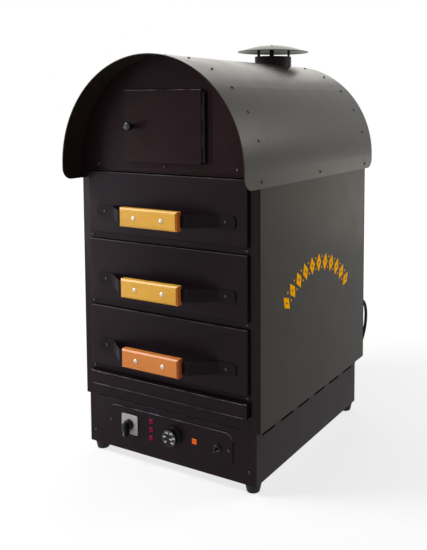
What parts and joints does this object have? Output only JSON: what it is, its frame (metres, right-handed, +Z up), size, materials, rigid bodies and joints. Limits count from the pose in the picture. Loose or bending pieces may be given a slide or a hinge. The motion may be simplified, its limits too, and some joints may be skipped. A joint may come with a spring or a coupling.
{
  "type": "baked potato oven",
  "caption": "Counter-top baked potato oven: steel cabinet with sliding drawers, a crumb tray, a rolled roof with a hinged hatch, a short capped chimney and a base with rotary controls.",
  "frame": {"origin": "on the floor under the middle of the oven, cord not counted", "axes": "+X to the oven's right as seen from the front, +Y to the back, +Z up"},
  "size_m": [0.5096, 0.7939, 1.0233],
  "materials": {
    "black_steel": "semi-gloss black stove enamel",
    "bare_steel": "bare stainless sheet",
    "mineral_wool": "matt",
    "element_sheath": "heat-darkened sheath",
    "hardwood": "oiled",
    "nickel": "bright nickel plate",
    "black_plastic": "gloss",
    "grey_plastic": "satin",
    "red_lens": "gloss",
    "amber_lens": "gloss",
    "black_rubber": "matt"
  },
  "bodies": {
    "oven_body": {"left_side_panel": "black_steel", "right_side_panel": "black_steel", "rear_panel": "black_steel", "roof_canopy": "black_steel", "front_arch_panel": "black_steel", "rear_arch_panel": "black_steel", "compartment_floor": "bare_steel", "compartment_liner": "bare_steel", "drawer_rails": "black_steel", "lower_front_rail": "black_steel", "cabinet_floor": "bare_steel", "oven_liner": "bare_steel", "insulation": "mineral_wool", "runners": "bare_steel", "base_shell": "black_steel", "base_front_panel": "black_steel", "base_floor": "bare_steel", "feet": "black_rubber", "control_plate": "black_steel", "switch_escutcheon": "grey_plastic", "switch_body": "black_plastic", "heat_indicators": "red_lens", "thermostat_lamp": "amber_lens", "thermostat_body": "bare_steel", "toggle_switch_body": "black_plastic", "terminal_block": "grey_plastic", "hinge_frame_leaf": "black_steel", "chimney_collar": "black_steel", "chimney_cap": "black_steel", "canopy_screws": "nickel", "panel_screws": "nickel", "cable_gland": "black_plastic", "mains_cord": "black_rubber", "mains_coil": "black_rubber", "mains_plug": "black_plastic", "heating_element_1": "element_sheath", "heating_element_2": "element_sheath", "heating_element_3": "element_sheath"},
    "drawer_1": {"drawer_1_front": "black_steel", "drawer_1_tray": "bare_steel", "drawer_1_strap": "black_steel", "drawer_1_grip": "hardwood", "drawer_1_screws": "nickel"},
    "drawer_2": {"drawer_2_front": "black_steel", "drawer_2_tray": "bare_steel", "drawer_2_strap": "black_steel", "drawer_2_grip": "hardwood", "drawer_2_screws": "nickel"},
    "drawer_3": {"drawer_3_front": "black_steel", "drawer_3_tray": "bare_steel", "drawer_3_strap": "black_steel", "drawer_3_grip": "hardwood", "drawer_3_screws": "nickel"},
    "crumb_tray": {"crumb_tray": "black_steel"},
    "hatch": {"hatch_door": "black_steel", "hinge_door_leaf": "black_steel", "hatch_knob": "black_plastic"},
    "switch_knob": {"switch_knob": "black_plastic"},
    "thermostat_dial": {"thermostat_dial": "black_plastic"},
    "toggle_lever": {"toggle_lever": "nickel"}
  },
  "joints": [
    {"name": "drawer_1_slide", "type": "slide", "parent": "oven_body", "child": "drawer_1", "axis": [0, -1, 0], "range_m": [0, 0.38]},
    {"name": "drawer_2_slide", "type": "slide", "parent": "oven_body", "child": "drawer_2", "axis": [0, -1, 0], "range_m": [0, 0.38]},
    {"name": "drawer_3_slide", "type": "slide", "parent": "oven_body", "child": "drawer_3", "axis": [0, -1, 0], "range_m": [0, 0.38]},
    {"name": "crumb_tray_slide", "type": "slide", "parent": "oven_body", "child": "crumb_tray", "axis": [0, -1, 0], "range_m": [0, 0.4]},
    {"name": "hatch_swing", "type": "hinge", "parent": "oven_body", "child": "hatch", "pos_m": [0.1134, -0.2848, 0.808], "axis": [0, 0, 1], "range_deg": [0, 120]},
    {"name": "switch_turn", "type": "hinge", "parent": "oven_body", "child": "switch_knob", "pos_m": [-0.112, -0.2898, 0.09], "axis": [0, 1, 0], "range_deg": [0, 135]},
    {"name": "thermostat_turn", "type": "hinge", "parent": "oven_body", "child": "thermostat_dial", "pos_m": [0.017, -0.2898, 0.09], "axis": [0, 1, 0], "range_deg": [0, 270]},
    {"name": "toggle_flip", "type": "hinge", "parent": "oven_body", "child": "toggle_lever", "pos_m": [0.14, -0.2788, 0.09], "axis": [-1, 0, 0], "range_deg": [0, 28]}
  ]
}
